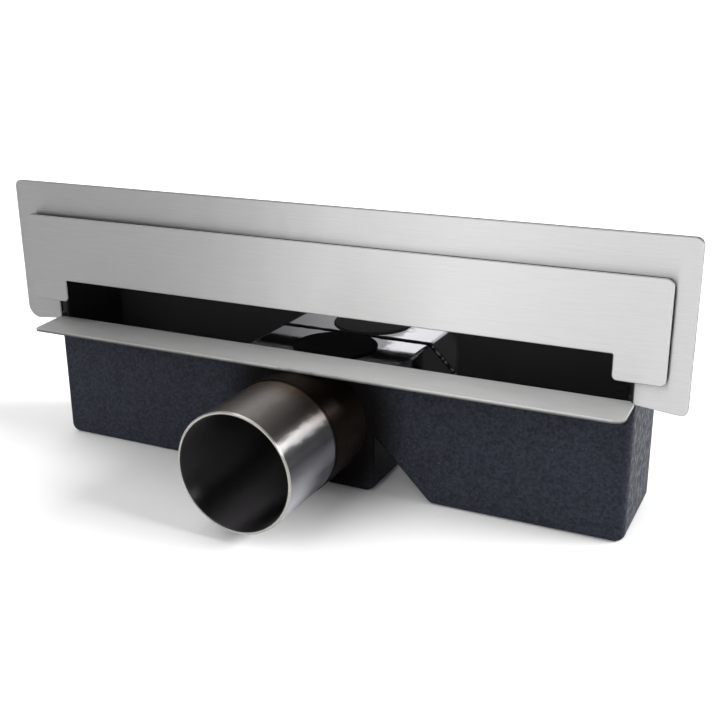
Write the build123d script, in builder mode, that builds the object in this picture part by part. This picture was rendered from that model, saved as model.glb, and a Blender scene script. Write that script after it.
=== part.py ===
"""Wall-type linear shower drain: stainless flange and cover over a welded tank with a water trap.

X runs along the drain, -Y is the room and +Z is up.  The origin is on the underside of the outlet
chamber, in the middle of the tank.  Water enters the slot between cover and lip, falls into the two
side sumps, passes under the flanks of the hood, over the weirs and out through the pipe.
"""

import os
from math import cos, degrees, radians, tan

from build123d import *

# Sheet metal and coat
sheet = 1.5  # stainless sheet of every folded piece
bend = 1.0  # inside radius of every fold
edge_break = 0.4  # broken rim of the sheets that are seen and touched
coat = 1.5  # sprayed sound-deadening coat
coat_corner = 4.0  # rounded lower corners of the coat at the ends
coat_rim = 2.5  # rounded rim of its front and back
coat_crease = 0.5  # radius of the coat in the bottom of the underside notches

# Tank
tank_depth = 42.0  # over the front and back walls
chamber_margin = 1.8  # outlet chamber beyond the pipe on each side, over its upright walls
weir_rise = 27.7  # notch between chamber and sump, from the steel underside to its peak
ramp_angle = radians(45)  # slope of the sump floor up to the weir

# Floor lip, folded forward from the front wall
lip_clearance = 0.45  # between the lip's front edge and the root of the pipe under it
lip_depth = 17.0  # reach in front of the flange
lip_fall = radians(3.5)  # slope down towards the room
lip_overlap = 0.75  # lip beyond the opening at each end, in front of the wings
lip_gap = 0.3  # between the front of the wings and that overlap
lip_corner_left = 1.0  # plan radius of the front corners
lip_corner_right = 4.0

# Wall flange
flange_length = 306.0
wing_width = 20.25  # flange beyond each end of the tank
flange_band = 42.5  # sheet above the opening
slot_height = 20.4  # opening above the lip
wing_gap = 0.5  # between the ends of the tank and the wings of the flange
wing_rise = 0.9  # lip level down to the inner corner of a wing
wing_drop = 1.9  # fall of a wing's lower edge towards its outer corner
flange_corner = 3.0
wing_corner_left = 6.0
wing_corner_right = 2.5
weld_tab = 10.0  # tabs of the tank that are welded to the back of the flange
tab_clearance = 2.0  # between the lip and the end plates' tabs
panel_clearance = 1.0  # between the opening and the top panel

# Cover plate and its magnets
cover_reveal = 8.0  # flange beyond each end of the cover
cover_height = 39.7
cover_lift = 8.7  # lip level up to the legs of the cover
leg_width = 19.5  # legs of the cover at the ends of its notch
notch_height = 10.0
cover_corner = 2.8
leg_corner = 2.1
notch_corner = 0.6
magnet_diameter = 12.0
magnet_height = 1.8
magnet_inset = 25.0  # outermost magnets from the ends of the cover
magnet_count = 4

# Outlet pipe
pipe_diameter = 50.0
pipe_wall = 1.5
pipe_height = 30.0  # axis above the underside
pipe_reach = 63.1  # rim in front of the flange
root_reach = 26.0  # raw root of the pipe in front of the flange; the rest is polished to size
root_skin = 0.3  # raw skin and overspray that the polished end is free of

# Siphon hood and its plug
hood_overhang = 9.4  # flat top beyond the upright walls of the chamber
hood_clearance = 0.2  # between the hood and the top of the bore
flank_angle = radians(45)
seal_gap = 11.0  # lower edges of the flanks above the sump floor
weld_leg = 1.4
weld_length = 34.0
plug_hole = 33.0
plug_head = 37.0
plug_head_height = 0.8
plug_depth = 4.5  # below the hood's sheet
plug_clearance = 0.2
plug_wall = 3.0

# Places worked out from the sizes above
wall_front = tank_depth / 2  # distance of the tank's front and back faces from the middle
wall_inner = wall_front - sheet
flange_front = wall_front + sheet
half_length = flange_length / 2 - wing_width
end_inner = half_length - sheet
opening_half = half_length + wing_gap
chamber_side = pipe_diameter / 2 + chamber_margin
root_radius = pipe_diameter / 2 + root_skin
lip_edge = pipe_height + root_radius + lip_clearance  # lower front edge of the lip
lip_level = lip_edge + sheet / cos(lip_fall) + lip_depth * tan(lip_fall)  # its top at the flange
opening_top = lip_level + slot_height
flange_top = opening_top + flange_band
tank_top = opening_top + panel_clearance + sheet
cover_half = flange_length / 2 - cover_reveal
notch_half = cover_half - leg_width
cover_bottom = lip_level + cover_lift
cover_back = flange_front + magnet_height
sump_floor = coat + sheet
bore_radius = pipe_diameter / 2 - pipe_wall  # inside of the pipe, and the hole in the front wall
hood_level = pipe_height + bore_radius + hood_clearance + sheet
hood_half = chamber_side + hood_overhang
fold = bend + sheet / 2  # radius of a fold at the middle of the sheet
front_plane = Plane.XZ.offset(wall_front)


def mirrored(half):
    """An outline from the left end to the right end, given its right half from the middle outwards."""
    return [(-x, z) for x, z in reversed(half)] + half


def underside(outset):
    """Right half of the folded underside, lying a distance below the lower face of the steel."""
    floor = coat - outset
    side = chamber_side + outset
    foot = chamber_side + weir_rise / tan(ramp_angle) - outset * tan(ramp_angle / 2)
    peak = floor + (foot - side) * tan(ramp_angle)
    return [(side, floor), (side, peak), (foot, floor)]


def notch_cutter():
    """Solid that cuts the two notches of the underside out of an upright wall."""
    outer, inner = bend + sheet, bend
    below = coat - sheet
    path = underside(0) + [(end_inner, coat)]
    with BuildPart() as cutter:
        with BuildSketch(Plane.XZ):
            with BuildLine():
                FilletPolyline(*mirrored(path), radius=[outer, inner, outer, outer, inner, outer])
                Polyline((end_inner, coat), (end_inner, below), (-end_inner, below), (-end_inner, coat))
            make_face()
        extrude(amount=tank_depth, both=True)
    return cutter.part


notches = notch_cutter()

# Wall flange: a flat sheet on the wall, open below between its two wings
with BuildPart() as wall_flange:
    with BuildSketch(front_plane) as outline:
        with BuildLine():
            Polyline(
                *mirrored(
                    [
                        (opening_half, opening_top),
                        (opening_half, lip_level - wing_rise),
                        (flange_length / 2, lip_level - wing_rise - wing_drop),
                        (flange_length / 2, flange_top),
                    ]
                ),
                close=True,
            )
        make_face()
        fillet(outline.vertices().group_by(Axis.Y)[-1], flange_corner)
        for radius, end in ((wing_corner_left, 0), (wing_corner_right, -1)):
            fillet(outline.vertices().group_by(Axis.Y)[0].sort_by(Axis.X)[end], radius)
    extrude(amount=sheet)
    chamfer(wall_flange.faces().sort_by(Axis.Y)[0].outer_wire().edges(), edge_break)
wall_flange.part.label = "wall_flange"

# Cover plate: a flat sheet with a wide notch for the water and a leg at each end
with BuildPart() as cover_plate:
    with BuildSketch(Plane.XZ.offset(cover_back)) as outline:
        with BuildLine():
            Polyline(
                *mirrored(
                    [
                        (notch_half, cover_bottom + notch_height),
                        (notch_half, cover_bottom),
                        (cover_half, cover_bottom),
                        (cover_half, cover_bottom + cover_height),
                    ]
                ),
                close=True,
            )
        make_face()
        for level, radius in ((1, notch_corner), (0, leg_corner), (-1, cover_corner)):
            fillet(outline.vertices().group_by(Axis.Y)[level], radius)
    extrude(amount=sheet)
    chamfer(cover_plate.faces().sort_by(Axis.Y)[0].outer_wire().edges(), edge_break)
cover_plate.part.label = "cover_plate"

# Magnets on the back of the cover, in a row along the band of the flange above the opening
magnet_level = (opening_top + cover_bottom + cover_height) / 2
magnet_spacing = 2 * (cover_half - magnet_inset) / (magnet_count - 1)
with BuildPart() as cover_magnets:
    with BuildSketch(Plane.XZ.offset(flange_front)):
        with Locations((0, magnet_level)):
            with GridLocations(magnet_spacing, 1, magnet_count, 1):
                Circle(magnet_diameter / 2)
    extrude(amount=magnet_height)
cover_magnets.part.label = "cover_magnets"

# Front wall: rises from the underside and folds forward as the floor lip
wall_middle = -(wall_front - sheet / 2)
lip_middle = lip_level - sheet / 2 / cos(lip_fall)
with BuildPart() as front_wall:
    with BuildSketch(Plane.YZ):
        with BuildLine() as path:
            FilletPolyline(
                (wall_middle, coat),
                (wall_middle, lip_middle + (wall_middle + flange_front) * tan(lip_fall)),
                (-flange_front - lip_depth, lip_middle - lip_depth * tan(lip_fall)),
                radius=fold,
            )
        trace(path.line, sheet)
    extrude(amount=half_length, both=True)
    with BuildSketch(Plane.YZ):
        with BuildLine() as path:
            Line(
                (-flange_front - lip_gap, lip_middle - lip_gap * tan(lip_fall)),
                (-flange_front - lip_depth, lip_middle - lip_depth * tan(lip_fall)),
            )
        trace(path.line, sheet)
    extrude(amount=opening_half + lip_overlap, both=True)
    for radius, end in ((lip_corner_left, 0), (lip_corner_right, -1)):
        lip_end = front_wall.faces().sort_by(Axis.Y)[0]
        fillet(lip_end.edges().filter_by(Axis.X, reverse=True).sort_by(Axis.X)[end], radius)
    add(notches, mode=Mode.SUBTRACT)
    with BuildSketch(front_plane):
        with Locations((0, pipe_height)):
            Circle(bore_radius)
    extrude(amount=-sheet, mode=Mode.SUBTRACT)
front_wall.part.label = "front_wall"

# Back sheet: back wall, top panel and the upturned tab that is welded to the flange
panel_middle = tank_top - sheet / 2
with BuildPart() as back_sheet:
    with BuildSketch(Plane.YZ):
        with BuildLine() as path:
            FilletPolyline(
                (-wall_middle, coat),
                (-wall_middle, panel_middle),
                (wall_middle, panel_middle),
                (wall_middle, tank_top + weld_tab),
                radius=fold,
            )
        trace(path.line, sheet)
    extrude(amount=half_length, both=True)
    add(notches, mode=Mode.SUBTRACT)
back_sheet.part.label = "back_sheet"

# End plates: each fits between the walls under the top panel, with a tab folded out behind its wing
end_middle = half_length - sheet / 2
tab_bottom = lip_level + tab_clearance
with BuildPart() as end_plate_right:
    with BuildSketch(Plane.XY.offset(coat)):
        with Locations((end_middle, 0)):
            Rectangle(sheet, 2 * wall_inner)
    extrude(amount=tab_bottom - coat)
    with BuildSketch(Plane.XY.offset(tab_bottom)):
        with BuildLine() as path:
            FilletPolyline(
                (end_middle, wall_inner),
                (end_middle, wall_middle),
                (half_length + weld_tab, wall_middle),
                radius=fold,
            )
        trace(path.line, sheet)
    extrude(amount=tank_top - sheet - tab_bottom)
    top_edges = end_plate_right.edges().filter_by(Axis.X).group_by(Axis.Z)[-1]
    fillet(top_edges.sort_by(Axis.Y)[-1], bend)
end_plate_right.part.label = "end_plate_right"

with BuildPart() as end_plate_left:
    mirror(end_plate_right.part, about=Plane.YZ)
end_plate_left.part.label = "end_plate_left"

# Floor pan: sump floors, ramps, weirs and chamber floor folded from one sheet
with BuildPart() as floor_pan:
    with BuildSketch(Plane.XZ):
        with BuildLine() as path:
            FilletPolyline(*mirrored(underside(-sheet / 2) + [(end_inner, coat + sheet / 2)]), radius=fold)
        trace(path.line, sheet)
    extrude(amount=wall_inner, both=True)
floor_pan.part.label = "floor_pan"

# Siphon hood: flat top over the outlet, flanks that dip into the water of the sumps
hood_middle = hood_level - sheet / 2
hood_fall = hood_level - sump_floor - seal_gap
with BuildPart() as siphon_hood:
    with BuildSketch(Plane.XZ):
        with BuildLine() as path:
            FilletPolyline(
                *mirrored(
                    [
                        (hood_half, hood_middle),
                        (hood_half + hood_fall / tan(flank_angle), hood_middle - hood_fall),
                    ]
                ),
                radius=fold,
            )
        trace(path.line, sheet)
    extrude(amount=wall_inner, both=True)
    with Locations((0, 0, hood_level)):
        Hole(plug_hole / 2, depth=2 * sheet)
siphon_hood.part.label = "siphon_hood"

# Weld runs along the upper corner between the hood's flanks and the back wall
flank_top = hood_middle + sheet / 2 / cos(flank_angle)
weld_start = fold + sheet
with BuildPart() as hood_welds:
    down_flank = Vector(1, 0, 0).rotate(Axis.Y, degrees(flank_angle))
    corner = Vector(hood_half, wall_inner, flank_top) + down_flank * weld_start
    with BuildSketch(Plane(corner, x_dir=(0, -1, 0), z_dir=down_flank)):
        with BuildLine():
            Polyline((0, 0), (weld_leg, 0), (0, -weld_leg), close=True)
        make_face()
    extrude(amount=weld_length)
    mirror(about=Plane.YZ)
hood_welds.part.label = "hood_welds"

# Cleaning plug: soft cup pressed into the hood, with a thin head that seals on its top
plug_radius = plug_hole / 2 - plug_clearance
plug_foot = hood_level - sheet - plug_depth
with BuildPart() as cleaning_plug:
    with BuildSketch(Plane.XZ):
        with BuildLine():
            Polyline(
                (0, hood_level),
                (plug_radius - plug_wall, hood_level),
                (plug_radius - plug_wall, plug_foot),
                (plug_radius, plug_foot),
                (plug_radius, hood_level),
                (plug_head / 2, hood_level),
                (plug_head / 2, hood_level + plug_head_height),
                (0, hood_level + plug_head_height),
                close=True,
            )
        make_face()
    revolve(axis=Axis.Z)
    chamfer(cleaning_plug.faces().sort_by(Axis.Z)[-1].edges(), plug_head_height / 2)
cleaning_plug.part.label = "cleaning_plug"

# Outlet pipe: a tube welded onto the front wall round the bore, with a polished spigot
with BuildPart() as outlet_pipe:
    for radius, reach in ((root_radius, root_reach), (pipe_diameter / 2, pipe_reach)):
        with BuildSketch(front_plane):
            with Locations((0, pipe_height)):
                Circle(radius)
                Circle(bore_radius, mode=Mode.SUBTRACT)
        extrude(amount=sheet + reach)
    chamfer(outlet_pipe.faces().sort_by(Axis.Y)[0].edges(), edge_break)
outlet_pipe.part.label = "outlet_pipe"

# Sound coat: sprayed skin on the outside of the tank, up to the lip in front
coat_end = half_length + coat
coat_front_top = lip_level - sheet - bend - coat_crease
tip = bend + sheet + coat
with BuildPart() as sprayed:
    with BuildSketch(Plane.XZ):
        with BuildLine():
            FilletPolyline(
                *mirrored(underside(coat) + [(coat_end, 0), (coat_end, tank_top)]),
                radius=[coat_corner, tip, coat_crease, tip, tip, coat_crease, tip, coat_corner],
            )
            Line((coat_end, tank_top), (-coat_end, tank_top))
        make_face()
    extrude(amount=flange_front, both=True)
    rims = [sprayed.faces().sort_by(Axis.Y)[i].edges() for i in (0, -1)]
    fillet([e for rim in rims for e in rim if e.center().Z < tank_top - coat], coat_rim)
    with BuildSketch(Plane.XZ):
        with BuildLine():
            FilletPolyline(
                *mirrored(underside(0) + [(half_length, coat)]),
                radius=[bend + sheet, bend, bend + sheet, bend + sheet, bend, bend + sheet],
            )
            Polyline(*mirrored([(half_length, tank_top), (half_length, coat)]))
        make_face()
    extrude(amount=wall_front, both=True, mode=Mode.SUBTRACT)
    with BuildSketch(front_plane):
        with Locations((0, pipe_height)):
            Circle(root_radius)
    extrude(amount=coat, mode=Mode.SUBTRACT)
    with BuildSketch(Plane.YZ):
        with BuildLine():
            Polyline(
                (-flange_front, coat_front_top),
                (-wall_front, coat_front_top),
                (-wall_front, tab_bottom - coat_crease),
                (-wall_inner + bend + coat_crease, tab_bottom - coat_crease),
                (-wall_inner + bend + coat_crease, tank_top),
                (-flange_front, tank_top),
                close=True,
            )
        make_face()
    extrude(amount=coat_end, both=True, mode=Mode.SUBTRACT)

# The coat is kept as two pieces that meet level with the sump floors: soles to stand on, a skin above
sole_top = Plane.XY.offset(sump_floor)
with BuildPart() as sound_coat:
    add(sprayed.part)
    split(bisect_by=sole_top, keep=Keep.TOP)
sound_coat.part.label = "sound_coat"

with BuildPart() as coat_soles:
    add(sprayed.part)
    split(bisect_by=sole_top, keep=Keep.BOTTOM)
coat_soles.part.label = "coat_soles"

pieces = [
    wall_flange,
    cover_plate,
    cover_magnets,
    front_wall,
    back_sheet,
    end_plate_left,
    end_plate_right,
    floor_pan,
    siphon_hood,
    hood_welds,
    cleaning_plug,
    outlet_pipe,
    sound_coat,
    coat_soles,
]
os.makedirs("parts", exist_ok=True)
for piece in pieces:
    export_step(piece.part, f"parts/{piece.part.label}.step")
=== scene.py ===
"""Looks of a wall-type linear shower drain.

Brushed stainless flange, cover and lip, a mirror-bright water trap behind the slot, a brushed
outlet pipe with a raw root, and a sprayed sound-deadening coat on the tank.  Metres, in the CAD
frame: X along the drain, -Y towards the room, +Z up.
"""

from math import cos, pi, radians, sin

import bpy
import numpy as np
from mathutils import Matrix, Vector


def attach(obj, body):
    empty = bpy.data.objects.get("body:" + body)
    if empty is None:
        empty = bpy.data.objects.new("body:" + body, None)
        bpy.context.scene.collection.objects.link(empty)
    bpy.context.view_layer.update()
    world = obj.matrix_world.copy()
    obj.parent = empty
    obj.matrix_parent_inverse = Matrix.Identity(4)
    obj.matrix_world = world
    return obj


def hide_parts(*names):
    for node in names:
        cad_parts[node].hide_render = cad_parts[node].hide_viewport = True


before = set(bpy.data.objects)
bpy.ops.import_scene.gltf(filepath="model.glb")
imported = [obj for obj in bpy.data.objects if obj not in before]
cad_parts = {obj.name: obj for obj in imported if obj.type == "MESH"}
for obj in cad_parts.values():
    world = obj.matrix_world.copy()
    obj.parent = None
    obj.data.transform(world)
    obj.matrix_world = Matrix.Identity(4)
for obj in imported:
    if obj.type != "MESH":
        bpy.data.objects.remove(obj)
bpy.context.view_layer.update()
MM = 0.001


def linear(colour):
    """Linear RGBA of an sRGB hex colour."""
    srgb = np.array([int(colour[i : i + 2], 16) / 255 for i in (1, 3, 5)])
    value = np.where(srgb <= 0.04045, srgb / 12.92, ((srgb + 0.055) / 1.055) ** 2.4)
    return (*value.tolist(), 1.0)


def feed(tree, node, inputs):
    """Feeds a node's inputs: a socket is linked, any other value is set."""
    for name, value in inputs.items():
        if isinstance(value, bpy.types.NodeSocket):
            tree.links.new(value, node.inputs[name])
        else:
            node.inputs[name].default_value = value


def add(tree, kind, inputs, **settings):
    """Adds a node with its settings and feeds its inputs."""
    made = tree.nodes.new("ShaderNode" + kind)
    for name, value in settings.items():
        setattr(made, name, value)
    feed(tree, made, inputs)
    return made


def finish_of(name):
    """A new material with its tree, its surface shader and its Object coordinates."""
    material = bpy.data.materials.new(name)
    material.use_nodes = True
    tree = material.node_tree
    surface = tree.nodes["Principled BSDF"]
    place = add(tree, "TexCoord", {}).outputs["Object"]
    return material, tree, surface, place


def wear(*nodes, material):
    """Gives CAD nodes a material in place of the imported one."""
    for name in nodes:
        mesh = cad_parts[name].data
        mesh.materials.clear()
        mesh.materials.append(material)


# Flange, cover and lip.  Belt brushing leaves grooves about 0.1 mm apart and 10 to 20 mm long;
# they are drawn 0.35 mm apart to show
groove_gap, groove_length = 0.35 * MM, 14 * MM
sheet_wave = 12 * MM
stain_fade = 1 * MM
# The dark edge colour is partly the oxide of a laser cut and partly painted shade along the edges
dark_oxide, water_stain = "#141312", "#4c4c4a"
flange_back, cover_back, lip_back = "#505052", "#3a3a3a", "#8a8a8a"
upright, level, roomwards = (0, 0, 1), (0, 1, 0), (0, -1, 0)


def brushed_steel(name, colours, edge, back, side, across, matt_edge=True, stain=0.0):
    """Stainless sheet, belt-brushed along X: the grooves spread light across the brushing.

    side is the way the brushed face looks and across the direction of the spread on it.  The
    laser-cut edges and the unbrushed back have colours of their own, and a faint waviness breaks
    up the sheen.  A matt edge is painted dark and without shine over the cut and its chamfer:
    partly the oxide of the cut, partly painted shade for the dark reflections along the edges.
    Below stain the steel is painted dark, painted shade inside the tank.
    """
    material, tree, surface, place = finish_of(name)
    groove_place = add(
        tree,
        "Mapping",
        {"Vector": place, "Scale": (1 / groove_length, 1 / groove_gap, 1 / groove_gap)},
    ).outputs["Vector"]
    groove = add(
        tree,
        "TexNoise",
        {"Vector": groove_place, "Scale": 1.0, "Detail": 3.0, "Roughness": 0.7},
    ).outputs["Fac"]
    streak = add(
        tree, "MapRange", {"Value": groove, "From Min": 0.3, "From Max": 0.7}
    ).outputs["Result"]
    facing = add(tree, "NewGeometry", {}).outputs["Normal"]
    facing = add(
        tree, "VectorMath", {0: facing, 1: side}, operation="DOT_PRODUCT"
    ).outputs["Value"]
    behind = add(
        tree, "MapRange", {"Value": facing, "From Min": -0.3, "From Max": -0.65}
    ).outputs["Result"]
    either_way = add(tree, "Math", {0: facing}, operation="ABSOLUTE").outputs["Value"]
    # Cut edges and their chamfers: on flange and cover they are painted dark and matt, partly
    # painted shade
    cut = add(
        tree, "MapRange", {"Value": either_way, "From Min": 0.8, "From Max": 0.55}
    ).outputs["Result"]
    height = add(tree, "SeparateXYZ", {"Vector": place}).outputs["Z"]
    # Painted shade: below stain the steel is painted dark, for the shade inside the tank
    wet = add(
        tree, "MapRange", {"Value": height, "From Min": stain, "From Max": stain - stain_fade}
    ).outputs["Result"]
    dark, bright = colours
    tone = linear(dark)
    for share, other in ((streak, bright), (behind, back), (cut, edge), (wet, water_stain)):
        tone = add(
            tree, "Mix", {"Factor": share, "A": tone, "B": linear(other)}, data_type="RGBA"
        ).outputs["Result"]
    rough = add(
        tree,
        "MapRange",
        {"Value": groove, "From Min": 0.3, "From Max": 0.7, "To Min": 0.38, "To Max": 0.46},
    ).outputs["Result"]
    wave = add(tree, "TexNoise", {"Vector": place, "Scale": 1 / sheet_wave, "Detail": 2.0})
    wavy = add(
        tree, "Bump", {"Height": wave.outputs["Fac"], "Strength": 0.25, "Distance": 0.3 * MM}
    ).outputs["Normal"]
    relief = add(
        tree, "Bump", {"Height": groove, "Strength": 0.06, "Distance": 0.05 * MM, "Normal": wavy}
    ).outputs["Normal"]
    spread = add(tree, "CombineXYZ", dict(zip("XYZ", across))).outputs["Vector"]
    feed(tree, surface, {"Base Color": tone, "Roughness": rough, "Normal": relief})
    feed(tree, surface, {"Tangent": spread, "Anisotropic": 1.0, "Metallic": 1.0})
    if matt_edge:
        bare = add(tree, "Math", {0: 1.0, 1: cut}, operation="SUBTRACT").outputs["Value"]
        feed(tree, surface, {"Metallic": bare, "Specular IOR Level": 0.0})
    return material


flange_steel = brushed_steel(
    "brushed_flange", ("#a6a6a6", "#b2b2b2"), dark_oxide, flange_back, roomwards, upright
)
cover_steel = brushed_steel(
    "brushed_cover", ("#a8a8a8", "#b4b4b4"), dark_oxide, cover_back, roomwards, upright
)
lip_steel = brushed_steel(
    "brushed_lip",
    ("#aaaaaa", "#b6b6b5"),
    "#acacab",
    lip_back,
    upright,
    level,
    matt_edge=False,
    # The front wall below 57 mm, inside the tank, is painted dark: painted shade
    stain=57 * MM,
)
wear("wall_flange", material=flange_steel)
wear("cover_plate", material=cover_steel)
wear("front_wall", material=lip_steel)

# Tank and hood
roll_wave, smear_width = 14 * MM, 5 * MM
# Painted shade on the hood: a darker left part, a darker front edge and a black painted shadow in
# the gap against the back wall
haze_end = 21 * MM
water_film, black_scale = "#4a494a", "#100e0d"


def rolled_steel(name, hazed, clear, roughness, metallic, film_end=-1.0, burn_start=1.0):
    """Bright rolled stainless sheet: almost a mirror, with a faint long waviness from the rolls.

    From the left up to a ragged border right of the middle the colour is painted darker,
    painted shade for darker reflections there.  In front of film_end it is painted darker
    as painted shade, behind burn_start it is painted black without any shine as a painted
    shadow in the gap against the back wall, and dust dulls the mirror where metallic is under 1.
    """
    material, tree, surface, place = finish_of(name)
    wave = add(tree, "TexNoise", {"Vector": place, "Scale": 1 / roll_wave, "Detail": 1.0})
    relief = add(
        tree, "Bump", {"Height": wave.outputs["Fac"], "Strength": 0.15, "Distance": 0.1 * MM}
    ).outputs["Normal"]
    smear = add(
        tree, "TexNoise", {"Vector": place, "Scale": 1 / smear_width, "Detail": 4.0}
    ).outputs["Fac"]
    low, high = roughness
    rough = add(
        tree,
        "MapRange",
        {"Value": smear, "From Min": 0.3, "From Max": 0.7, "To Min": low, "To Max": high},
    ).outputs["Result"]
    # The borders of the painted shades wander up to 9 mm along the drain and 1.2 mm across it
    ragged = add(tree, "MapRange", {"Value": smear, "To Min": -1, "To Max": 1}).outputs["Result"]
    at = add(
        tree,
        "VectorMath",
        {0: ragged, 1: (9 * MM, 1.2 * MM, 0), 2: place},
        operation="MULTIPLY_ADD",
    ).outputs["Vector"]
    at = add(tree, "SeparateXYZ", {"Vector": at}).outputs
    cleared = add(
        tree,
        "MapRange",
        {"Value": at["X"], "From Min": haze_end - 3 * MM, "From Max": haze_end + 1 * MM},
    ).outputs["Result"]
    # Painted shade along the hood's front edge
    film = add(
        tree,
        "MapRange",
        {"Value": at["Y"], "From Min": film_end + 1.5 * MM, "From Max": film_end - 1.5 * MM},
    ).outputs["Result"]
    # Painted shadow: black and without shine in the gap against the back wall
    burnt = {"Value": at["Y"], "From Min": burn_start, "From Max": burn_start + 0.6 * MM}
    scale = add(tree, "MapRange", burnt).outputs["Result"]
    metal = add(tree, "MapRange", burnt | {"To Min": metallic, "To Max": 0.0}).outputs["Result"]
    tone = linear(hazed)
    for share, other in ((cleared, clear), (film, water_film), (scale, black_scale)):
        tone = add(
            tree, "Mix", {"Factor": share, "A": tone, "B": linear(other)}, data_type="RGBA"
        ).outputs["Result"]
    feed(tree, surface, {"Base Color": tone, "Roughness": rough, "Normal": relief})
    feed(tree, surface, {"Metallic": metal, "Specular IOR Level": 0.0})
    return material


tank_steel = rolled_steel("rolled_tank", "#9a9a9c", "#a0a0a2", (0.03, 0.07), 0.92)
# The hood's dark left tone is painted shade; its front band is painted shade and its back band a
# painted shadow
hood_steel = rolled_steel(
    "rolled_hood",
    "#464547",
    "#b2b2b4",
    (0.02, 0.06),
    1.0,
    film_end=-1 * MM,
    burn_start=17 * MM,
)
wear("back_sheet", "floor_pan", material=tank_steel)
wear("siphon_hood", material=hood_steel)


def pickled_steel():
    """Sheet as pickled after welding: dull, with a soft blotchy bloom and no mirror; its very dark
    grey is painted shade inside the tank.
    """
    material, tree, surface, place = finish_of("pickled_ends_painted_dark")
    bloom = add(tree, "TexNoise", {"Vector": place, "Scale": 1 / (6 * MM), "Detail": 4.0})
    tone = add(
        tree,
        "Mix",
        {"Factor": bloom.outputs["Fac"], "A": linear("#2a2a2c"), "B": linear("#3c3c3e")},
        data_type="RGBA",
    ).outputs["Result"]
    feed(tree, surface, {"Base Color": tone, "Metallic": 1.0, "Roughness": 0.55})
    return material


wear("end_plate_left", "end_plate_right", material=pickled_steel())

# Weld beads on the hood
hood_half, wall_inner, flank_top = 36.2 * MM, 19.5 * MM, 55.5 * MM
flank_angle = radians(45)
bead_start, bead_length = 1.2 * MM, 37 * MM
bead_leg, bead_pitch = 0.75 * MM, 3.0 * MM
bead_rows, bead_turns = 241, 9


def weld_beads():
    """Two fillet welds that run down the corners between the hood's flanks and the back wall.

    Each is a quarter-round profile carried along a straight path.  Its radius swells from 0.55 of
    the leg to all of it with the absolute sine of the distance run, once for each dip of the
    welding rod, and falls off at both ends.  A slower sine shifts the distance back and forth,
    because a hand doesn't dip evenly.
    """
    run = np.linspace(0, bead_length, bead_rows)
    uneven = 0.25 * bead_pitch * np.sin(2.3 * run / bead_pitch)
    swell = np.abs(np.sin(pi * (run + uneven) / bead_pitch))
    fall_off = np.sqrt(np.clip(np.minimum(run, bead_length - run) / bead_leg, 0.02, 1))
    radius = bead_leg * (0.55 + 0.45 * swell) * fall_off
    turn = np.linspace(0, pi / 2, bead_turns)
    towards_room = np.append(np.cos(turn), 0)
    off_flank = np.append(np.sin(turn), 0)
    outwards, upwards = cos(flank_angle), sin(flank_angle)
    start = bead_start + run[:, None]
    x = hood_half + start * outwards + radius[:, None] * off_flank * upwards
    y = wall_inner - radius[:, None] * towards_room
    z = flank_top - start * upwards + radius[:, None] * off_flank * outwards
    right = np.stack([x, y, z], axis=-1)
    rows, around = x.shape
    here = np.arange(rows * around).reshape(rows, around)
    beside = np.roll(here, -1, axis=1)
    quads = np.stack([here[:-1], here[1:], beside[1:], beside[:-1]], axis=-1).reshape(-1, 4)
    caps = np.stack([here[0], here[-1, ::-1]])
    points = np.concatenate([right.reshape(-1, 3), (right * (-1, 1, 1)).reshape(-1, 3)])
    faces = [each for part in (quads, caps) for each in (part, part[:, ::-1] + here.size)]
    faces = sum((each.tolist() for each in faces), [])
    mesh = bpy.data.meshes.new("weld_beads")
    mesh.from_pydata(points.tolist(), [], faces)
    crest = mesh.attributes.new("crest", "FLOAT", "POINT")
    crest.data.foreach_set("value", np.tile(np.repeat(swell, around), 2).astype(np.float32))
    mesh.polygons.foreach_set("use_smooth", np.ones(len(mesh.polygons), bool))
    beads = bpy.data.objects.new("weld_beads", mesh)
    bpy.context.scene.collection.objects.link(beads)
    return beads


def weld_finish():
    """Stainless weld metal: a painted highlight on each ripple's crest, and in the dips a
    brown-black that is heat tint darkened by painted shade.
    """
    material, tree, surface = finish_of("weld_metal")[:3]
    crest = add(tree, "Attribute", {}, attribute_name="crest").outputs["Fac"]
    bright = add(
        tree, "MapRange", {"Value": crest, "From Min": 0.55, "From Max": 0.95}
    ).outputs["Result"]
    # Painted highlight on the crests, painted shade in the dips
    tone = add(
        tree,
        "Mix",
        {"Factor": bright, "A": linear("#241e1a"), "B": linear("#827e79")},
        data_type="RGBA",
    ).outputs["Result"]
    feed(tree, surface, {"Base Color": tone, "Metallic": 1.0, "Roughness": 0.3})
    return material


beads = weld_beads()
beads.data.materials.append(weld_finish())
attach(beads, "root")
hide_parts("hood_welds")

# Outlet pipe.  Brushing round the tube leaves rings about 0.1 mm apart; they are drawn 0.5 mm
# apart to show
pipe_height, polished_to, rim_inner = 30 * MM, -50.1 * MM, 24.0 * MM
ring_gap, ring_length, hand_wave = 0.5 * MM, 9 * MM, 5 * MM
raw_fade, bore_fade = 0.4 * MM, 0.1 * MM
heat_length = 14 * MM
# Painted shade on the underside, growing from the first towards the root at the second
soot_from, soot_to = -82 * MM, -58 * MM
# Degrees round the pipe, from the top towards +X, and the tone painted there; the light underside
# is a painted reflection of a bright floor
pipe_tones = [
    (-180, "#8c8c8e"),
    (-25, "#3e3a38"),
    (10, "#736e6b"),
    (40, "#6f6a67"),
    (58, "#6c6b6b"),
    (76, "#4a4a4f"),
    (112, "#bcbcc2"),
    (180, "#8c8c8e"),
]


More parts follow.
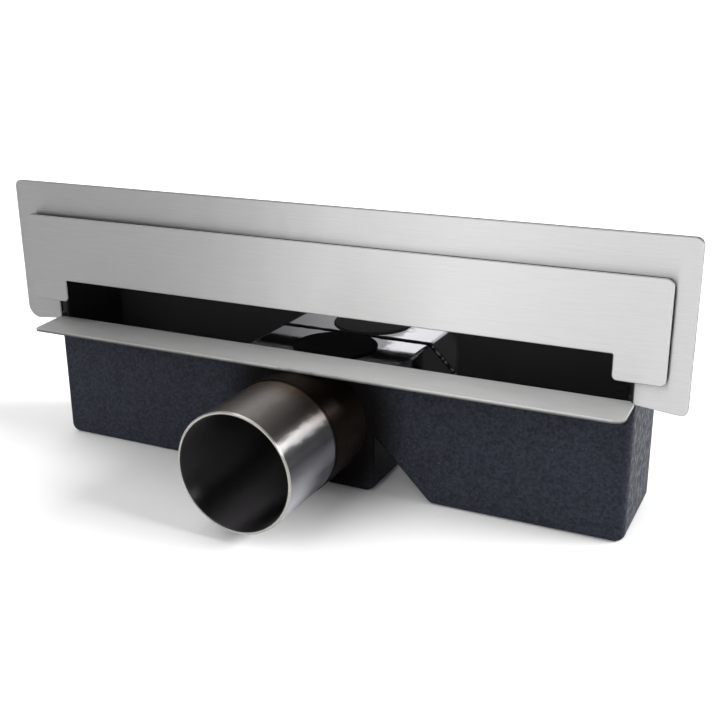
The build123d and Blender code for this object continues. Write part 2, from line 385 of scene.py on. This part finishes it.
def pipe_finish():
    """Stainless tube brushed round and round, so light spreads along it in streaks.

    Round the tube its tone changes with the angle: dark on the upper left, brownish on top,
    dark and bluish on the flank, and light on the underside, a painted reflection of a bright
    floor below.  The raw root keeps its black scale, a brown heat tint fades from it along the
    top, painted shade darkens the underside towards the root, and the bore is darker.  Hand
    brushing leaves it faintly wavy, so streaks wander.
    """
    material, tree, surface, place = finish_of("brushed_pipe")
    ring_place = add(
        tree,
        "Mapping",
        {"Vector": place, "Scale": (1 / ring_length, 1 / ring_gap, 1 / ring_length)},
    ).outputs["Vector"]
    ring = add(tree, "TexNoise", {"Vector": ring_place, "Scale": 1.0, "Detail": 3.0}).outputs["Fac"]
    wave = add(tree, "TexNoise", {"Vector": place, "Scale": 1 / hand_wave, "Detail": 3.0})
    wavy = add(
        tree, "Bump", {"Height": wave.outputs["Fac"], "Strength": 0.5, "Distance": 0.4 * MM}
    ).outputs["Normal"]
    relief = add(
        tree, "Bump", {"Height": ring, "Strength": 0.5, "Distance": 0.05 * MM, "Normal": wavy}
    ).outputs["Normal"]
    off_axis = add(
        tree,
        "VectorMath",
        {0: place, 1: (1, 0, 1), 2: (0, 0, -pipe_height)},
        operation="MULTIPLY_ADD",
    ).outputs["Vector"]
    part = add(tree, "SeparateXYZ", {"Vector": off_axis}).outputs
    turn = add(tree, "Math", {0: part["X"], 1: part["Z"]}, operation="ARCTAN2").outputs["Value"]
    turn = add(
        tree, "MapRange", {"Value": turn, "From Min": -pi, "From Max": pi}
    ).outputs["Result"]
    ramp = add(tree, "ValToRGB", {"Fac": turn})
    stops = ramp.color_ramp.elements
    for degrees, _ in pipe_tones[1:-1]:
        stops.new((degrees + 180) / 360)
    for stop, (_, colour) in zip(stops, pipe_tones):
        stop.color = linear(colour)
    along = add(tree, "SeparateXYZ", {"Vector": place}).outputs["Y"]
    raw = add(
        tree,
        "MapRange",
        {"Value": along, "From Min": polished_to - raw_fade, "From Max": polished_to + raw_fade},
    ).outputs["Result"]
    facing = add(tree, "NewGeometry", {}).outputs["Normal"]
    facing = add(tree, "SeparateXYZ", {"Vector": facing}).outputs
    rim = add(
        tree, "MapRange", {"Value": facing["Y"], "From Min": -0.4, "From Max": -0.8}
    ).outputs["Result"]
    from_axis = add(tree, "VectorMath", {0: off_axis}, operation="LENGTH").outputs["Value"]
    bore = add(
        tree,
        "MapRange",
        {"Value": from_axis, "From Min": rim_inner, "From Max": rim_inner - bore_fade},
    ).outputs["Result"]
    # Heat tint on the side that looks up; painted shade on the side that looks down, darker towards
    # the root
    tints = []
    for start, end, steep, full in (
        (polished_to - heat_length, polished_to, 0.4, 0.9),
        (soot_from, soot_to, 0.1, -0.2),
    ):
        near_root = add(
            tree,
            "MapRange",
            {"Value": along, "From Min": start, "From Max": end},
            interpolation_type="SMOOTHSTEP",
        ).outputs["Result"]
        on_side = add(
            tree, "MapRange", {"Value": facing["Z"], "From Min": steep, "From Max": full}
        ).outputs["Result"]
        tint = add(tree, "Math", {0: near_root, 1: on_side}, operation="MULTIPLY")
        tints.append(tint.outputs["Value"])
    heat, soot = tints
    tone = ramp.outputs["Color"]
    # Painted shade darkens the underside near the root; heat tint, rim, raw root and bore are
    # colours of their own
    for share, colour in (
        (heat, "#52453b"),
        (soot, "#505057"),
        (rim, "#a6a49e"),
        (raw, "#1c1714"),
        (bore, "#383638"),
    ):
        tone = add(
            tree, "Mix", {"Factor": share, "A": tone, "B": linear(colour)}, data_type="RGBA"
        ).outputs["Result"]
    rough = add(
        tree,
        "MapRange",
        {"Value": ring, "From Min": 0.3, "From Max": 0.7, "To Min": 0.3, "To Max": 0.4},
    ).outputs["Result"]
    dull = add(tree, "Math", {0: raw, 1: bore}, operation="MAXIMUM").outputs["Value"]
    rough = add(tree, "Mix", {"Factor": dull, "A": rough, "B": 0.5}).outputs["Result"]
    spread = add(tree, "CombineXYZ", {"Y": 1.0}).outputs["Vector"]
    feed(tree, surface, {"Base Color": tone, "Roughness": rough, "Normal": relief})
    feed(tree, surface, {"Tangent": spread, "Anisotropic": 1.0, "Metallic": 1.0})
    return material


wear("outlet_pipe", material=pipe_finish())

# Sprayed coat
grain_width, spatter_width, lump_width = 1.1 * MM, 1.7 * MM, 2.6 * MM
coat_end = 134.25 * MM
root_middle = (0, -24 * MM, pipe_height)
# Painted shade round the pipe's root: full within the first distance, gone beyond the second
burnt_within, burnt_until = 29 * MM, 47 * MM


def coat_finish():
    """Sprayed bitumen coat: blue-black and half matt, with a fine grain and sparse pale spatters.

    At the ends, where it ran thick, it has coarse shining lumps, and round the pipe's root it is
    painted brown-black, painted shade under the lip and the pipe.
    """
    material, tree, surface, place = finish_of("sprayed_coat")
    grain = add(
        tree,
        "TexNoise",
        {"Vector": place, "Scale": 1 / grain_width, "Detail": 3.0, "Roughness": 0.6},
    ).outputs["Fac"]
    mottle = add(
        tree, "MapRange", {"Value": grain, "From Min": 0.35, "From Max": 0.65}
    ).outputs["Result"]
    fleck = add(tree, "TexNoise", {"Vector": place, "Scale": 1 / spatter_width, "Detail": 0.0})
    spatter = add(
        tree, "MapRange", {"Value": fleck.outputs["Fac"], "From Min": 0.83, "From Max": 0.87}
    ).outputs["Result"]
    from_root = add(
        tree, "VectorMath", {0: place, 1: root_middle}, operation="DISTANCE"
    ).outputs["Value"]
    # Painted shade: brown-black round the pipe's root, under the lip and the pipe
    burnt = add(
        tree,
        "MapRange",
        {"Value": from_root, "From Min": burnt_until, "From Max": burnt_within},
        interpolation_type="SMOOTHSTEP",
    ).outputs["Result"]
    tone = linear("#1f2127")
    for share, other in ((mottle, "#2f323a"), (spatter, "#3e424c"), (burnt, "#0e0c0c")):
        tone = add(
            tree, "Mix", {"Factor": share, "A": tone, "B": linear(other)}, data_type="RGBA"
        ).outputs["Result"]
    lump = add(tree, "TexNoise", {"Vector": place, "Scale": 1 / lump_width, "Detail": 2.0})
    along = add(tree, "SeparateXYZ", {"Vector": place}).outputs["X"]
    along = add(tree, "Math", {0: along}, operation="ABSOLUTE").outputs["Value"]
    thick = add(
        tree,
        "MapRange",
        {"Value": along, "From Min": coat_end - 4 * MM, "From Max": coat_end - 0.5 * MM},
    ).outputs["Result"]
    lump_height = add(
        tree, "Math", {0: lump.outputs["Fac"], 1: thick}, operation="MULTIPLY"
    ).outputs["Value"]
    lump_relief = add(
        tree, "Bump", {"Height": lump_height, "Strength": 1.0, "Distance": 1.2 * MM}
    ).outputs["Normal"]
    relief = add(
        tree,
        "Bump",
        {"Height": grain, "Strength": 1.0, "Distance": 0.5 * MM, "Normal": lump_relief},
    ).outputs["Normal"]
    rough = add(
        tree,
        "MapRange",
        {"Value": lump_height, "From Min": 0.35, "From Max": 0.65, "To Min": 0.55, "To Max": 0.3},
    ).outputs["Result"]
    feed(tree, surface, {"Base Color": tone, "Roughness": rough, "Normal": relief})
    feed(tree, surface, {"Specular IOR Level": 0.03})
    return material


wear("sound_coat", "coat_soles", material=coat_finish())


def rubber_finish():
    """Moulded black rubber: matt, with a fine bloom."""
    material, tree, surface, place = finish_of("moulded_rubber")
    bloom = add(
        tree, "TexNoise", {"Vector": place, "Scale": 1 / (2 * MM), "Detail": 4.0}
    ).outputs["Fac"]
    tone = add(
        tree,
        "Mix",
        {"Factor": bloom, "A": linear("#030303"), "B": linear("#080808")},
        data_type="RGBA",
    ).outputs["Result"]
    relief = add(
        tree, "Bump", {"Height": bloom, "Strength": 0.2, "Distance": 0.1 * MM}
    ).outputs["Normal"]
    feed(tree, surface, {"Base Color": tone, "Normal": relief})
    feed(tree, surface, {"Roughness": 0.7, "Specular IOR Level": 0.08})
    return material


wear("cleaning_plug", material=rubber_finish())


def nickel_finish():
    """Nickel plate on the magnets: smooth and slightly warm, with fine handling marks."""
    material, tree, surface, place = finish_of("nickel_plate")
    marks = add(
        tree, "TexNoise", {"Vector": place, "Scale": 1 / (1.5 * MM), "Detail": 5.0}
    ).outputs["Fac"]
    rough = add(
        tree,
        "MapRange",
        {"Value": marks, "From Min": 0.3, "From Max": 0.7, "To Min": 0.12, "To Max": 0.28},
    ).outputs["Result"]
    feed(tree, surface, {"Base Color": linear("#c9c3b8"), "Roughness": rough, "Metallic": 1.0})
    return material


wear("cover_magnets", material=nickel_finish())

# Floor: matt pale paint, without a sheen, just below the drain
floor_size, floor_drop = 40.0, 0.1 * MM
corners = np.array([(-1, -1, 0), (1, -1, 0), (1, 1, 0), (-1, 1, 0)]) * floor_size / 2
floor_mesh = bpy.data.meshes.new("floor")
floor_mesh.from_pydata((corners - (0, 0, floor_drop)).tolist(), [], [(0, 1, 2, 3)])
floor = bpy.data.objects.new("floor", floor_mesh)
bpy.context.scene.collection.objects.link(floor)
paint, paint_tree, paint_surface = finish_of("pale_floor")[:3]
feed(paint_tree, paint_surface, {"Base Color": linear("#e8e8e8"), "Roughness": 0.8})
floor_mesh.materials.append(paint)

# Studio light: softboxes far away, each a soft-edged window of the sky.  Its left and right
# borders are degrees off the drain's cross plane, towards +X; its lower and upper borders are
# degrees of climb from the horizon in front, over the top, to the horizon behind; then the
# softness of the borders and the brightness
softboxes = [
    (-28, 9, 0, 62, 6, 2.8),
    (-28, -18, 0, 62, 6, 1.8),
    (-60, 2, 66, 112, 3, 1.6),
    (-62, 98, 120, 190, 6, 1.3),
    (-95, -62, -5, 185, 4, 0.9),
    (76, 95, -5, 185, 4, 0.9),
    (36, 52, 8, 34, 3, 2.5),
    (45, 75, 10, 60, 3, 0.6),
]
# A strip light along the pipe's right side.  Its borders are degrees of tilt from overhead towards
# +X, and degrees towards the room off the plane of the flange; then softness and brightness
strips = [(53, 65.5, -30, 9, 2.5, 36.0)]
ambient = 0.06
world = bpy.data.worlds.new("studio")
bpy.context.scene.world = world
world.use_nodes = True
sky = world.node_tree
toward = add(sky, "TexCoord", {}).outputs["Generated"]
toward = add(sky, "SeparateXYZ", {"Vector": toward}).outputs
forward = add(sky, "Math", {0: toward["Y"], 1: -1.0}, operation="MULTIPLY").outputs["Value"]
aside = add(sky, "Math", {0: toward["X"]}, operation="ARCSINE").outputs["Value"]
climb = add(sky, "Math", {0: toward["Z"], 1: forward}, operation="ARCTAN2").outputs["Value"]
tilt = add(sky, "Math", {0: toward["X"], 1: toward["Z"]}, operation="ARCTAN2").outputs["Value"]
roomward = add(sky, "Math", {0: forward}, operation="ARCSINE").outputs["Value"]
windows = [(aside, climb, *box) for box in softboxes]
windows += [(tilt, roomward, *strip) for strip in strips]
light = ambient
for sideways, upwards, left, right, low, high, border, brightness in windows:
    glow = brightness
    for angle, first, last in ((sideways, left, right), (upwards, low, high)):
        for limit, inwards in ((first, border), (last, -border)):
            outer, inner = radians(limit - inwards), radians(limit + inwards)
            inside = add(
                sky,
                "MapRange",
                {"Value": angle, "From Min": outer, "From Max": inner},
                interpolation_type="SMOOTHSTEP",
            ).outputs["Result"]
            glow = add(sky, "Math", {0: glow, 1: inside}, operation="MULTIPLY").outputs["Value"]
    light = add(sky, "Math", {0: light, 1: glow}).outputs["Value"]
# White backdrop low down, so that floor and sky meet without a line
elevation = add(sky, "Math", {0: toward["Z"]}, operation="ARCSINE").outputs["Value"]
backdrop = add(
    sky,
    "MapRange",
    {"Value": elevation, "From Min": radians(6), "From Max": radians(2)},
    interpolation_type="SMOOTHSTEP",
).outputs["Result"]
light = add(sky, "Math", {0: light, 1: backdrop}).outputs["Value"]
feed(sky, sky.nodes["Background"], {"Color": (1, 1, 1, 1), "Strength": light})

# Camera at the photograph's place: right of the drain, looking left and down
camera_place = (0.20035, -0.38678, 0.198)
yaw, pitch, roll = radians(25.99), radians(18.94), radians(-0.41)
right = Vector((cos(yaw), sin(yaw), 0))
ahead = Vector((-sin(yaw) * cos(pitch), cos(yaw) * cos(pitch), -sin(pitch)))
up = right.cross(ahead)
right, up = right * cos(roll) + up * sin(roll), up * cos(roll) - right * sin(roll)
camera_data = bpy.data.cameras.new("camera")
camera_data.lens = 52.43
camera_data.sensor_width = 36.0
camera_data.clip_start = 0.01
camera = bpy.data.objects.new("camera", camera_data)
bpy.context.scene.collection.objects.link(camera)
turned = Matrix((right, up, -ahead)).transposed().to_4x4()
camera.matrix_world = Matrix.Translation(camera_place) @ turned
bpy.context.scene.camera = camera
bpy.context.scene.view_settings.view_transform = "Standard"
